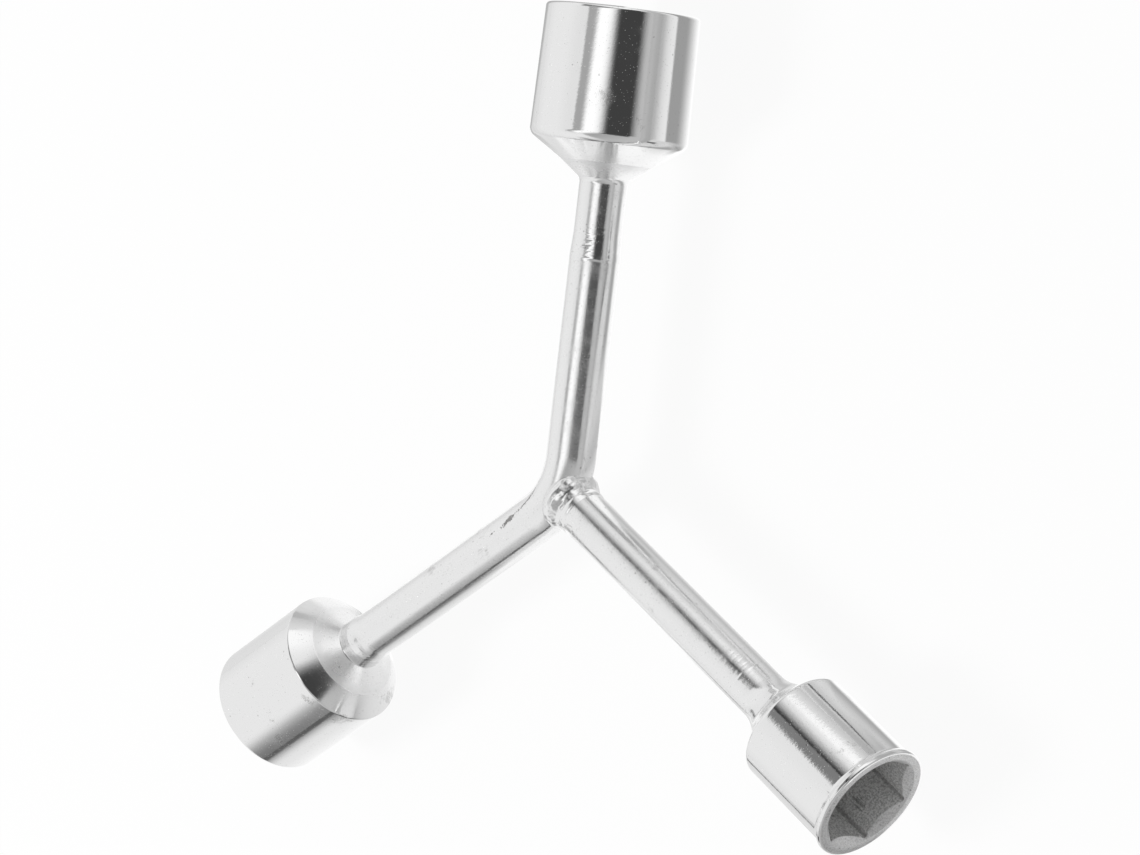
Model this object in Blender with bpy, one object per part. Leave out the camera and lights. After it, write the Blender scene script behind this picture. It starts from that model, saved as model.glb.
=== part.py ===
# Y socket wrench: one bar bent into a wide V, a stem welded to the outside of the bend,
# and a turned hex socket welded to the end of each arm. It lies flat, with the three arms
# in one level plane, the stem along -Y and +Z up. The origin is under the middle of its box.

import math

import bmesh
import bpy
from mathutils import Matrix, Vector

# Bar stock, and the Y that it makes
rod_diameter = 0.008
arms_angle = math.radians(126)  # between the two arms of the bent bar
bend_radius = 0.013  # of the bar's centre line

# Space kept between separate solids that a weld holds together
joint_gap = 0.0003

# Weld bead round the root of the stem
bead_rise = 0.00095  # above its seat round the stem
bead_reach = 0.0013  # along the stem, past the skin of the bent bar
bead_length = 0.0048

# Turned rings on the butt weld behind each socket
ring_pitch = 0.0012
ring_depth = 0.0001  # of the groove between two rings, below the bar's skin
ring_rise = 0.0002  # from groove to crest
ring_flank_share = 0.3  # of one ring's pitch, for each sloping side

# What every bore shares
hex_corner_round = 0.0005
lead_in_margin = 0.00012  # of the countersink's rim, outside the hex corners
lead_in_angle = math.radians(45)
pilot_margin = 0.0004  # by which the drilled pilot is smaller than the hex, all round
pilot_overdrill = 0.0008  # depth of the pilot below the hex
drill_point_angle = math.radians(118)
cut_overrun = 0.002  # how far any cutter passes the face that it opens

# The three sockets, each on the end of one arm. Reach is from the hub's centre to the mouth.
# The back of a socket is a cone in two slopes, which meet at the crease; its shares run from
# the foot to the shoulder. A shank's step is how far its radius is from the bar's.

# The 19 mm socket
across_flats_19 = 0.019
reach_19 = 0.0778
body_length_19 = 0.0207
shoulder_diameter_19 = 0.0252
mouth_diameter_19 = 0.0245
shoulder_round_19 = 0.0011
mouth_round_19 = 0.0004
back_length_19 = 0.0063
crease_radius_19_share = 0.40
crease_height_19_share = 0.44
crease_round_19 = 0.0008
foot_fillet_19 = 0.0012
shank_step_19 = -0.0002
shank_length_19 = 0.0076
weld_length_19 = 0.0048
hex_depth_19 = 0.015

# The 17 mm socket
across_flats_17 = 0.017
reach_17 = 0.0800
body_length_17 = 0.0202
shoulder_diameter_17 = 0.0231
mouth_diameter_17 = 0.0231
shoulder_round_17 = 0.0005
mouth_round_17 = 0.0006
back_length_17 = 0.0051
crease_radius_17_share = 0.55
crease_height_17_share = 0.45
crease_round_17 = 0.0004
foot_fillet_17 = 0.0003
shank_step_17 = 0.0003
shank_length_17 = 0.0018
weld_length_17 = 0.0026
hex_depth_17 = 0.014

# The 14 mm socket, which also has a rolled lip round its mouth
across_flats_14 = 0.014
reach_14 = 0.0772
body_length_14 = 0.0182
shoulder_diameter_14 = 0.0184
mouth_diameter_14 = 0.0184
shoulder_round_14 = 0.0009
mouth_round_14 = 0.0004
lip_rise_14 = 0.0005
lip_thickness_14 = 0.0007
lip_flare_14 = 0.0008
back_length_14 = 0.0062
crease_radius_14_share = 0.30
crease_height_14_share = 0.55
crease_round_14 = 0.0012
foot_fillet_14 = 0.0020
shank_step_14 = 0
shank_length_14 = 0.0030
weld_length_14 = 0.0060
hex_depth_14 = 0.012

sockets = [
    {
        "size": "19",
        "heading": math.pi / 2 - arms_angle / 2,
        "across_flats": across_flats_19,
        "reach": reach_19,
        "body_length": body_length_19,
        "shoulder_diameter": shoulder_diameter_19,
        "mouth_diameter": mouth_diameter_19,
        "shoulder_round": shoulder_round_19,
        "mouth_round": mouth_round_19,
        "back_length": back_length_19,
        "crease_radius_share": crease_radius_19_share,
        "crease_height_share": crease_height_19_share,
        "crease_round": crease_round_19,
        "foot_fillet": foot_fillet_19,
        "shank_step": shank_step_19,
        "shank_length": shank_length_19,
        "weld_length": weld_length_19,
        "hex_depth": hex_depth_19,
    },
    {
        "size": "17",
        "heading": math.pi / 2 + arms_angle / 2,
        "across_flats": across_flats_17,
        "reach": reach_17,
        "body_length": body_length_17,
        "shoulder_diameter": shoulder_diameter_17,
        "mouth_diameter": mouth_diameter_17,
        "shoulder_round": shoulder_round_17,
        "mouth_round": mouth_round_17,
        "back_length": back_length_17,
        "crease_radius_share": crease_radius_17_share,
        "crease_height_share": crease_height_17_share,
        "crease_round": crease_round_17,
        "foot_fillet": foot_fillet_17,
        "shank_step": shank_step_17,
        "shank_length": shank_length_17,
        "weld_length": weld_length_17,
        "hex_depth": hex_depth_17,
    },
    {
        "size": "14",
        "heading": -math.pi / 2,
        "across_flats": across_flats_14,
        "reach": reach_14,
        "body_length": body_length_14,
        "shoulder_diameter": shoulder_diameter_14,
        "mouth_diameter": mouth_diameter_14,
        "shoulder_round": shoulder_round_14,
        "mouth_round": mouth_round_14,
        "lip_rise": lip_rise_14,
        "lip_thickness": lip_thickness_14,
        "lip_flare": lip_flare_14,
        "back_length": back_length_14,
        "crease_radius_share": crease_radius_14_share,
        "crease_height_share": crease_height_14_share,
        "crease_round": crease_round_14,
        "foot_fillet": foot_fillet_14,
        "shank_step": shank_step_14,
        "shank_length": shank_length_14,
        "weld_length": weld_length_14,
        "hex_depth": hex_depth_14,
    },
]

# Smoothness of the turned and swept surfaces
rod_sides = 32
socket_sides = 48
bend_steps = 10
arc_step = math.radians(24)
sharp_angle = math.radians(32)
round_bevel_share = 0.5  # of a bevel's profile, where a half is a true arc
merge_distance = 0.000001

rod_radius = rod_diameter / 2
half_turn = math.pi / 2 - arms_angle / 2  # of each bent arm from +X or -X
bend_centre = Vector((0, bend_radius / math.cos(half_turn), 0))
# Where the outer skin of the bend crosses the stem's axis
skin_station = rod_radius + bend_radius - bend_centre.y


def clear_scene():
    for old in list(bpy.data.objects):
        bpy.data.objects.remove(old)


def metal(name, colour, roughness):
    material = bpy.data.materials.new(name)
    material.use_nodes = True
    shader = material.node_tree.nodes["Principled BSDF"]
    shader.inputs["Base Color"].default_value = (*colour, 1)
    shader.inputs["Metallic"].default_value = 1
    shader.inputs["Roughness"].default_value = roughness
    return material


def add_object(name, bm, parent, material=None):
    """Makes an object of the mesh being edited. Without a material it is a hidden cutter."""
    bmesh.ops.recalc_face_normals(bm, faces=bm.faces)
    mesh = bpy.data.meshes.new(name)
    bm.to_mesh(mesh)
    bm.free()
    made = bpy.data.objects.new(name, mesh)
    made.parent = parent
    bpy.context.scene.collection.objects.link(made)
    if material:
        mesh.materials.append(material)
        mesh.shade_smooth()
        mesh.set_sharp_from_angle(angle=sharp_angle)
    else:
        made.hide_render = True
        made.display_type = "WIRE"
    return made


def add_frame(name, parent=None, heading=0):
    """An empty whose +Z runs along an arm that points this way in the level plane."""
    frame = bpy.data.objects.new(name, None)
    frame.parent = parent
    if parent:
        frame.rotation_euler = (0, math.pi / 2, heading)
    bpy.context.scene.collection.objects.link(frame)
    return frame


def cut(target, cutter):
    step = target.modifiers.new(cutter.name, "BOOLEAN")
    step.operation = "DIFFERENCE"
    step.solver = "EXACT"
    step.object = cutter


def rounded(corners):
    """The profile through these (radius, height, rounding) corners, with each one rounded."""
    points = []
    for index, (radius, height, rounding) in enumerate(corners):
        here = Vector((radius, height))
        if not rounding:
            points.append(here)
            continue
        before = Vector(corners[index - 1][:2]) - here
        after = Vector(corners[index + 1][:2]) - here
        opening = before.angle(after)
        # A rounding takes at most half of the shorter side
        longest = min(before.length, after.length) / 2
        setback = min(rounding / math.tan(opening / 2), longest)
        start = here + before.normalized() * setback
        end = here + after.normalized() * setback
        inward = (before.normalized() + after.normalized()).normalized()
        centre = here + inward * setback / math.cos(opening / 2)
        turn = (start - centre).angle_signed(end - centre)
        steps = max(1, math.ceil(abs(turn) / arc_step))
        for step in range(steps + 1):
            points.append(centre + Matrix.Rotation(-turn * step / steps, 2) @ (start - centre))
    return points


def turned(points, sides, closed=False):
    """Turns a profile of (radius, height) points about +Z."""
    bm = bmesh.new()
    ring = [bm.verts.new((point[0], 0, point[1])) for point in points]
    edges = [bm.edges.new(pair) for pair in zip(ring, ring[1:])]
    if closed:
        edges.append(bm.edges.new((ring[-1], ring[0])))
    bmesh.ops.spin(
        bm,
        geom=ring + edges,
        cent=(0, 0, 0),
        axis=(0, 0, 1),
        angle=math.tau,
        steps=sides,
        use_merge=True,
    )
    bmesh.ops.remove_doubles(bm, verts=bm.verts, dist=merge_distance)
    return bm


def prism(radius, sides, bottom, top, corner_round):
    """An upright prism with a corner on +X and its upright edges rounded."""
    bm = bmesh.new()
    bmesh.ops.create_cone(
        bm, cap_ends=True, segments=sides, radius1=radius, radius2=radius, depth=top - bottom
    )
    first = max(bm.verts, key=lambda vert: vert.co.x)
    offset = math.atan2(first.co.y, first.co.x)
    bmesh.ops.rotate(bm, verts=bm.verts, matrix=Matrix.Rotation(-offset, 3, "Z"))
    if corner_round:
        # Its ends are still above and below zero, and an upright edge joins them
        upright = [edge for edge in bm.edges if edge.verts[0].co.z * edge.verts[1].co.z < 0]
        bmesh.ops.bevel(
            bm,
            geom=upright,
            offset=corner_round,
            segments=2,
            profile=round_bevel_share,
            affect="EDGES",
        )
    bmesh.ops.translate(bm, verts=bm.verts, vec=(0, 0, (top + bottom) / 2))
    return bm


def bent_bar(radius, arm_ends):
    """Sweeps a circle in along the first arm, round the bend and out along the second arm."""
    tangent = bend_radius * math.tan(half_turn)
    way_in, way_out = (
        Vector((math.cos(socket["heading"]), math.sin(socket["heading"]), 0))
        for socket in sockets[:2]
    )
    bm = bmesh.new()
    square = way_in.to_track_quat("Z", "Y").to_matrix().to_4x4()
    place = Matrix.Translation(way_in * arm_ends[0]) @ square
    bmesh.ops.create_circle(bm, segments=rod_sides, radius=radius, matrix=place)

    def push(edges, move):
        grown = bmesh.ops.extrude_edge_only(bm, edges=edges)["geom"]
        verts = [item for item in grown if isinstance(item, bmesh.types.BMVert)]
        bmesh.ops.translate(bm, verts=verts, vec=move)
        return [item for item in grown if isinstance(item, bmesh.types.BMEdge)]

    rim = push(list(bm.edges), way_in * (tangent - arm_ends[0]))
    swung = bmesh.ops.spin(
        bm, geom=rim, cent=bend_centre, axis=(0, 0, 1), angle=-2 * half_turn, steps=bend_steps
    )
    rim = [item for item in swung["geom_last"] if isinstance(item, bmesh.types.BMEdge)]
    push(rim, way_out * (arm_ends[1] - tangent))
    open_edges = [edge for edge in bm.edges if edge.is_boundary]
    bmesh.ops.holes_fill(bm, edges=open_edges)
    return bm


def stations(socket):
    """Distances of a socket's turned features from the hub's centre, along its arm."""
    shoulder = socket["reach"] - socket["body_length"]
    foot = shoulder - socket["back_length"]
    shank_end = foot - socket["shank_length"]
    weld_end = shank_end - joint_gap
    weld_start = weld_end - socket["weld_length"]
    return {
        "shoulder": shoulder,
        "foot": foot,
        "shank_end": shank_end,
        "weld_end": weld_end,
        "weld_start": weld_start,
        "rod_end": weld_start - joint_gap,
    }


def socket_profile(socket, at):
    """Corners of the socket's outer profile, from the end of its shank to the mouth."""
    shank = rod_radius + socket["shank_step"]
    shoulder = socket["shoulder_diameter"] / 2
    mouth = socket["mouth_diameter"] / 2
    crease = shank + (shoulder - shank) * socket["crease_radius_share"]
    crease_height = at["foot"] + socket["back_length"] * socket["crease_height_share"]
    corners = [
        (0, at["shank_end"], 0),
        (shank, at["shank_end"], 0),
        (shank, at["foot"], socket["foot_fillet"]),
        (crease, crease_height, socket["crease_round"]),
        (shoulder, at["shoulder"], socket["shoulder_round"]),
    ]
    if "lip_rise" in socket:
        lip = mouth + socket["lip_rise"]
        lip_back = socket["reach"] - socket["lip_thickness"]
        corners += [
            (mouth, lip_back - socket["lip_flare"], socket["lip_flare"]),
            (lip, lip_back, socket["mouth_round"]),
            (lip, socket["reach"], socket["mouth_round"]),
        ]
    else:
        corners.append((mouth, socket["reach"], socket["mouth_round"]))
    corners.append((0, socket["reach"], 0))
    return [(radius, height - at["shank_end"], rounding) for radius, height, rounding in corners]


def cut_bore(body, socket, mouth):
    """Drills the pilot, broaches the hex over it and countersinks the mouth."""
    flat = socket["across_flats"] / 2
    corner = flat / math.cos(math.pi / 6)
    hex_bottom = mouth - socket["hex_depth"]
    outside = mouth + cut_overrun
    pilot = flat - pilot_margin
    pilot_bottom = hex_bottom - pilot_overdrill
    tip = pilot_bottom - pilot / math.tan(drill_point_angle / 2)
    rim = corner + lead_in_margin
    slope = math.tan(lead_in_angle)
    name = "socket_" + socket["size"]
    hexagon = add_object(
        name + "_hex", prism(corner, 6, hex_bottom, outside, hex_corner_round), body
    )
    cut(body, hexagon)
    drills = {
        "_pilot": [(0, outside), (pilot, outside), (pilot, pilot_bottom), (0, tip)],
        "_lead_in": [
            (0, outside),
            (rim + cut_overrun * slope, outside),
            (0, mouth - rim / slope),
        ],
    }
    for ending, profile in drills.items():
        drill = add_object(name + ending, turned(profile, socket_sides), body)
        # Half a facet's turn keeps the edges of the drill off the corners of the hex
        drill.rotation_euler.z = math.pi / socket_sides
        cut(body, drill)


def add_socket(socket, arm, material):
    at = stations(socket)
    profile = rounded(socket_profile(socket, at))
    body = add_object("socket_" + socket["size"], turned(profile, socket_sides), arm, material)
    body.location.z = at["shank_end"]
    cut_bore(body, socket, socket["reach"] - at["shank_end"])


def add_socket_weld(socket, arm, material):
    """A short plug of weld metal between bar and shank, with rings left by turning it down."""
    at = stations(socket)
    rings = max(1, round(socket["weld_length"] / ring_pitch))
    pitch = socket["weld_length"] / rings
    groove = rod_radius - ring_depth
    crest = groove + ring_rise
    points = [(0, 0), (groove, 0)]
    for ring in range(rings):
        points += [
            (crest, (ring + ring_flank_share) * pitch),
            (crest, (ring + 1 - ring_flank_share) * pitch),
            (groove, (ring + 1) * pitch),
        ]
    points.append((0, socket["weld_length"]))
    weld = add_object("socket_weld_" + socket["size"], turned(points, rod_sides), arm, material)
    weld.location.z = at["weld_start"]


def add_stem(stem_socket, arm, bar_envelope, material):
    length = stations(stem_socket)["rod_end"]
    bm = prism(rod_radius, rod_sides, 0, length, 0)
    cut(add_object("stem_rod", bm, arm, material), bar_envelope)


def add_hub_weld(arm, bar_envelope, material):
    """A ring of weld round the stem's root, domed outside and saddled over the bent bar."""
    seat = rod_radius + joint_gap
    steps = math.ceil(math.pi / arc_step)
    points = []
    for step in range(steps + 1):
        turn = math.pi * step / steps
        points.append(
            (seat + bead_rise * math.sin(turn), (1 + math.cos(turn)) * bead_length / 2)
        )
    bead = add_object("hub_weld", turned(points, rod_sides, closed=True), arm, material)
    bead.location.z = skin_station + bead_reach - bead_length
    cut(bead, bar_envelope)


def stand_on_origin(wrench):
    """Moves the whole wrench so that the middle of its box's underside is at the origin."""
    bpy.context.view_layer.update()
    graph = bpy.context.evaluated_depsgraph_get()
    corners = []
    for piece in bpy.data.objects:
        if piece.type == "MESH" and not piece.hide_render:
            solid = piece.evaluated_get(graph)
            corners += [solid.matrix_world @ vert.co for vert in solid.data.vertices]
    low = Vector(min(corner[axis] for corner in corners) for axis in range(3))
    high = Vector(max(corner[axis] for corner in corners) for axis in range(3))
    middle = (low + high) / 2
    wrench.location = (-middle.x, -middle.y, -low.z)
    bpy.context.view_layer.update()


def build():
    clear_scene()
    plated_bar = metal("plated_bar", (0.78, 0.79, 0.80), 0.16)
    plated_stem = metal("plated_stem", (0.78, 0.79, 0.80), 0.18)
    plated_bead = metal("plated_bead", (0.74, 0.75, 0.76), 0.22)

    wrench = add_frame("wrench")
    arms = [
        add_frame("arm_" + socket["size"], wrench, socket["heading"]) for socket in sockets
    ]
    bar_ends = [stations(socket)["rod_end"] for socket in sockets[:2]]
    add_object("bent_rod", bent_bar(rod_radius, bar_ends), wrench, plated_bar)
    envelope = add_object("bar_envelope", bent_bar(rod_radius + joint_gap, bar_ends), wrench)

    add_stem(sockets[2], arms[2], envelope, plated_stem)
    add_hub_weld(arms[2], envelope, plated_bead)
    for socket, arm in zip(sockets, arms):
        socket_metal = metal("plated_socket_" + socket["size"], (0.80, 0.81, 0.82), 0.10)
        weld_metal = metal("plated_weld_" + socket["size"], (0.74, 0.75, 0.76), 0.25)
        add_socket(socket, arm, socket_metal)
        add_socket_weld(socket, arm, weld_metal)
    stand_on_origin(wrench)


build()
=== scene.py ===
# Looks for the Y socket wrench: bright plated bars, weld beads and turned sockets on white paper.

import math

import bpy
import numpy as np
from mathutils import Matrix, Vector, noise


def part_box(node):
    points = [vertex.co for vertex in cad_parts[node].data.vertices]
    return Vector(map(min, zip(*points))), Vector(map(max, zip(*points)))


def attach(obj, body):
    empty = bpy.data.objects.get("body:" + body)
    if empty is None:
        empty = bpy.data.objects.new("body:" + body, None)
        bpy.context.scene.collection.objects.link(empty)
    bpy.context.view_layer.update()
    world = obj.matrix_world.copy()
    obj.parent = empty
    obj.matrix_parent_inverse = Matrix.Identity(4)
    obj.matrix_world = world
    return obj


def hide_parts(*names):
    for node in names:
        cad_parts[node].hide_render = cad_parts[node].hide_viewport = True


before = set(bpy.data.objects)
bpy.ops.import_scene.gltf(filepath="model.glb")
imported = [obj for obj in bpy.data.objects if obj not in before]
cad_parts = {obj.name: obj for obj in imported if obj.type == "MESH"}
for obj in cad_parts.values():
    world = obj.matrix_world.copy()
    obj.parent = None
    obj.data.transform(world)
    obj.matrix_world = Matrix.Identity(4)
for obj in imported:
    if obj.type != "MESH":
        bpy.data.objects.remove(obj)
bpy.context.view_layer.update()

bar = {
    "radius": 0.004,
    "armsAngle": math.radians(126),
    "bendRadius": 0.013,
    "sides": 96,
    "bendSteps": 48,
    "runSteps": 24,
    "weldOverlap": 0.0004,
    "stemShift": 0.2,  # Keeps the stem's marks unlike the bent bar's
}

# In metres. An outline has radii, stations along the arm from the hub's centre and corner roundings
sockets = {
    "19": {
        "heading": math.pi / 2 - bar["armsAngle"] / 2,
        "acrossFlats": 0.019,
        "hexDepth": 0.015,
        "shankStart": 0.0432,
        "weldStart": 0.0378,
        "mouth": 0.0778,
        "cone": (0.0514, 0.0560),
        "satin": 0.9,
        "outline": [
            (0.0038, 0.0432, 0),
            (0.0038, 0.0508, 0.0013),
            (0.0073, 0.0536, 0.0014),
            (0.0126, 0.0571, 0.0017),
            (0.01225, 0.0778, 0.0011),
        ],
    },
    "17": {
        "heading": math.pi / 2 + bar["armsAngle"] / 2,
        "acrossFlats": 0.017,
        "hexDepth": 0.014,
        "shankStart": 0.0529,
        "weldStart": 0.0497,
        "mouth": 0.0800,
        "cone": (0.0549, 0.0571),
        "satin": 1,
        "outline": [
            (0.0043, 0.0529, 0),
            (0.0043, 0.0547, 0.0003),
            (0.0083, 0.0570, 0.0003),
            (0.01155, 0.0598, 0.0005),
            (0.01155, 0.0800, 0.0006),
        ],
    },
    "14": {
        "heading": -math.pi / 2,
        "acrossFlats": 0.014,
        "hexDepth": 0.012,
        "shankStart": 0.0498,
        "weldStart": 0.0435,
        "mouth": 0.0772,
        "cone": (0.0535, 0.0582),
        "satin": 0.2,
        "outline": [
            (0.0040, 0.0498, 0),
            (0.0040, 0.0528, 0.0060),
            (0.00556, 0.05621, 0.0040),
            (0.0092, 0.0590, 0.0009),
            (0.0092, 0.0757, 0.0008),
            (0.0097, 0.0765, 0.0004),
            (0.0097, 0.0772, 0.0004),
        ],
    },
}

bore = {
    "cornerRound": 0.0008,
    "leadInMargin": 0.00012,
    "leadInShares": (0.03, 0.5, 0.97),
    "pilotMargin": 0.0004,
    "pilotOverdrill": 0.0008,
    "pilotTip": 0.02,
    "drillHalfPoint": math.radians(59),
    "edgeRound": 0.00008,
    "edgeInset": 0.1,  # This and the next two are shares of edgeRound
    "edgeDrop": 0.4,
    "wallDrop": 1.2,
    "tolerance": 1e-7,
    "hexRows": 14,
    "columns": 240,
}

# Material slots of a socket
finishSlots = {"outside": 0, "mouth": 1, "bore": 2, "shank": 3}

# Where things are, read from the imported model
stemLow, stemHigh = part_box("stem_rod")
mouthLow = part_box("socket_14")[0]
hub = Vector((
    (stemLow.x + stemHigh.x) / 2,
    mouthLow.y + sockets["14"]["mouth"],
    (stemLow.z + stemHigh.z) / 2,
))


def armPlace(heading):
    # Local Z runs out along the arm, and local X points up
    along = Vector((math.cos(heading), math.sin(heading), 0))
    up = Vector((0, 0, 1))
    turn = Matrix((up, along.cross(up), along)).transposed()
    return Matrix.Translation(hub) @ turn.to_4x4()


def smoothProfile(corners, step=math.radians(5), guard=0.00006):
    # Rounds the corners of a (radius, station, rounding) outline, with a guard ring beside each arc
    points = []
    for index, (radius, station, rounding) in enumerate(corners):
        here = Vector((radius, station))
        if not rounding:
            points.append(here)
            continue
        before = Vector(corners[index - 1][:2]) - here
        after = Vector(corners[index + 1][:2]) - here
        opening = before.angle(after)
        setback = min(rounding / math.tan(opening / 2), before.length / 2, after.length / 2)
        start = here + before.normalized() * setback
        end = here + after.normalized() * setback
        inward = (before.normalized() + after.normalized()).normalized()
        centre = here + inward * setback / math.cos(opening / 2)
        turn = (start - centre).angle_signed(end - centre)
        steps = max(2, math.ceil(abs(turn) / step))
        points.append(start + before.normalized() * guard)
        for count in range(steps + 1):
            spin = Matrix.Rotation(-turn * count / steps, 2)
            points.append(centre + spin @ (start - centre))
        points.append(end + after.normalized() * guard)
    return points


def smoothCurve(points, count, blur, fineness=1200):
    # Resamples a given polyline evenly and rounds it off with a bell-shaped blur
    points = np.array(points)
    steps = np.append(0, np.cumsum(np.hypot(*np.diff(points, axis=0).T)))
    fine = np.linspace(0, steps[-1], fineness)
    curve = np.stack([np.interp(fine, steps, column) for column in points.T], 1)
    spread = np.exp(-0.5 * (np.linspace(-3, 3, int(fineness * blur)) ** 2))
    spread /= spread.sum()
    half = len(spread) // 2
    before = 2 * curve[0] - curve[half:0:-1]
    after = 2 * curve[-1] - curve[-2:-half - 2:-1]
    padded = np.vstack([before, curve, after])
    curve = np.stack([np.convolve(column, spread, "same") for column in padded.T], 1)[half:-half]
    return curve[np.linspace(0, len(curve) - 1, count).astype(int)]


def ring(radii, station, angles):
    return np.stack([radii * np.cos(angles), radii * np.sin(angles), station + 0 * angles], 1)


def skin(name, rings, place, flow=None, bands=None, coarse=None):
    # Joins rings of points into one closed piece. bands gives each strip's material slot, flow gives
    # the points that the finish is laid out by, and coarse marks rings for a finish's extra roughness
    count = len(rings[0])
    last = len(rings) - 1
    points = np.concatenate(rings)
    faces = []
    slots = []
    for row in range(last):
        for column in range(count):
            after = (column + 1) % count
            a, b = row * count, (row + 1) * count
            faces.append((a + column, a + after, b + after, b + column))
            slots.append(bands[row] if bands else 0)
    for row, flip in ((0, True), (last, False)):
        tip = len(points)
        points = np.vstack([points, rings[row].mean(0)])
        for column in range(count):
            after = (column + 1) % count
            a = row * count
            face = (tip, a + after, a + column) if flip else (tip, a + column, a + after)
            faces.append(face)
            slots.append(bands[min(row, len(bands) - 1)] if bands else 0)
    mesh = bpy.data.meshes.new(name)
    turn = np.array(place.to_3x3())
    mesh.from_pydata((points @ turn.T + np.array(place.translation)).tolist(), [], faces)
    mesh.polygons.foreach_set("material_index", slots)
    straight = mesh.attributes.new("flow", "FLOAT_VECTOR", "POINT")
    run = points if flow is None else flow
    straight.data.foreach_set("vector", np.asarray(run, np.float32).ravel())
    shares = np.zeros(last + 1) if coarse is None else np.array(coarse)
    shares = np.append(np.repeat(shares, count), [shares[0], shares[-1]])
    marked = mesh.attributes.new("coarse", "FLOAT", "POINT")
    marked.data.foreach_set("value", shares.astype(np.float32))
    mesh.shade_smooth()
    ends = np.zeros(len(mesh.edges) * 2, np.int32)
    mesh.edges.foreach_get("vertices", ends)
    ends = ends.reshape(-1, 2)
    inLastRing = (ends >= last * count) & (ends < (last + 1) * count)
    sharp = (ends < count).all(1) | inLastRing.all(1)
    mesh.attributes.new("sharp_edge", "BOOLEAN", "EDGE").data.foreach_set("value", sharp)
    mesh.update()
    piece = bpy.data.objects.new(name, mesh)
    bpy.context.scene.collection.objects.link(piece)
    return piece


def hexRadius(angles, flat, cornerRound):
    # Radius of a hexagon with round corners, one of them at angle zero
    fold = np.abs((angles + math.pi / 6) % (math.pi / 3) - math.pi / 6)
    plain = flat / np.cos(math.pi / 6 - fold)
    centre = (flat - cornerRound) / math.cos(math.pi / 6)
    across = centre * np.sin(fold)
    arc = centre * np.cos(fold) + np.sqrt(np.maximum(cornerRound**2 - across**2, 0))
    return np.where((across < cornerRound) & (arc < plain), arc, plain)


def makeSocket(size):
    # The turned outside, then the lead-in, the hex walls and the drilled bottom
    spec = sockets[size]
    flat = spec["acrossFlats"] / 2
    columns = bore["columns"]
    angles = np.arange(columns) * math.tau / columns
    mouth = spec["mouth"]
    rim = flat / math.cos(math.pi / 6) + bore["leadInMargin"]
    hexWall = hexRadius(angles, flat, bore["cornerRound"])
    pilot = flat - bore["pilotMargin"]
    hexEnd = mouth - spec["hexDepth"]
    profile = smoothProfile(spec["outline"] + [(rim, mouth, 0)])
    rings = [ring(np.full(columns, point[0]), point[1], angles) for point in profile]
    coneStart, coneEnd = spec["cone"]
    coarse = [spec["satin"] if coneStart < point[1] < coneEnd else 0 for point in profile]
    outerEnd = len([point for point in profile if point[1] < mouth - bore["tolerance"]])
    shankEnd = len([point for point in profile if point[1] < coneStart])
    bands = [finishSlots["shank"]] * shankEnd
    bands += [finishSlots["outside"]] * (outerEnd - shankEnd)
    bands += [finishSlots["mouth"]] * (len(rings) - 1 - outerEnd)
    lead = rim - hexWall
    edge = bore["edgeRound"]
    for share in bore["leadInShares"]:
        rings.append(ring(rim - lead * share, mouth - lead * share, angles))
        bands.append(finishSlots["mouth"])
    inset = edge * bore["edgeInset"]
    rings.append(ring(hexWall - inset, mouth - lead - edge * bore["edgeDrop"], angles))
    bands.append(finishSlots["mouth"])
    coarse += [0] * (len(rings) - len(coarse))
    wallStart = mouth - lead - edge * bore["wallDrop"]
    for share in np.linspace(0, 1, bore["hexRows"]):
        station = wallStart * (1 - share) + hexEnd * share
        rings.append(ring(hexWall, station, angles))
        bands.append(finishSlots["bore"])
        coarse.append(1)
    pilotEnd = hexEnd - bore["pilotOverdrill"]
    tip = pilotEnd - pilot / math.tan(bore["drillHalfPoint"])
    for radius, station in ((pilot, hexEnd), (pilot, pilotEnd), (pilot * bore["pilotTip"], tip)):
        rings.append(ring(np.full(columns, radius), station, angles))
        bands.append(finishSlots["bore"])
    coarse += [0] * (len(rings) - len(coarse))
    piece = skin("socket" + size, rings, armPlace(spec["heading"]), bands=bands, coarse=coarse)
    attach(piece, "root")
    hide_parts("socket_" + size)
    return piece


def makeBentBar():
    # Sweeps a circle in along the 19 arm, round the bend and out along the 17 arm
    first, second = sockets["19"], sockets["17"]
    halfTurn = math.pi / 2 - bar["armsAngle"] / 2
    tangent = bar["bendRadius"] * math.tan(halfTurn)
    centre = Vector((0, bar["bendRadius"] / math.cos(halfTurn), 0))
    wayIn = Vector((math.cos(first["heading"]), math.sin(first["heading"]), 0))
    wayOut = Vector((math.cos(second["heading"]), math.sin(second["heading"]), 0))
    path = []
    for distance in np.linspace(first["weldStart"] + bar["weldOverlap"], tangent, bar["runSteps"])[:-1]:
        path.append((wayIn * distance, -wayIn))
    for count in range(bar["bendSteps"] + 1):
        spin = Matrix.Rotation(-2 * halfTurn * count / bar["bendSteps"], 3, "Z")
        path.append((centre + spin @ (wayIn * tangent - centre), spin @ -wayIn))
    for distance in np.linspace(tangent, second["weldStart"] + bar["weldOverlap"], bar["runSteps"])[1:]:
        path.append((wayOut * distance, wayOut))
    angles = np.arange(bar["sides"]) * math.tau / bar["sides"]
    up = Vector((0, 0, 1))
    rings = []
    flow = []
    travelled = 0
    previous = path[0][0]
    for place, direction in path:
        travelled += (place - previous).length
        previous = place
        around = np.outer(np.cos(angles), up) + np.outer(np.sin(angles), direction.cross(up))
        rings.append(np.array(place) + around * bar["radius"])
        flow.append(ring(np.full(bar["sides"], bar["radius"]), travelled, angles))
    flow = np.concatenate(flow + [flow[0].mean(0)[None], flow[-1].mean(0)[None]])
    piece = skin("bentBar", rings, Matrix.Translation(hub), flow=flow)
    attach(piece, "root")
    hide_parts("bent_rod")
    return piece


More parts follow.
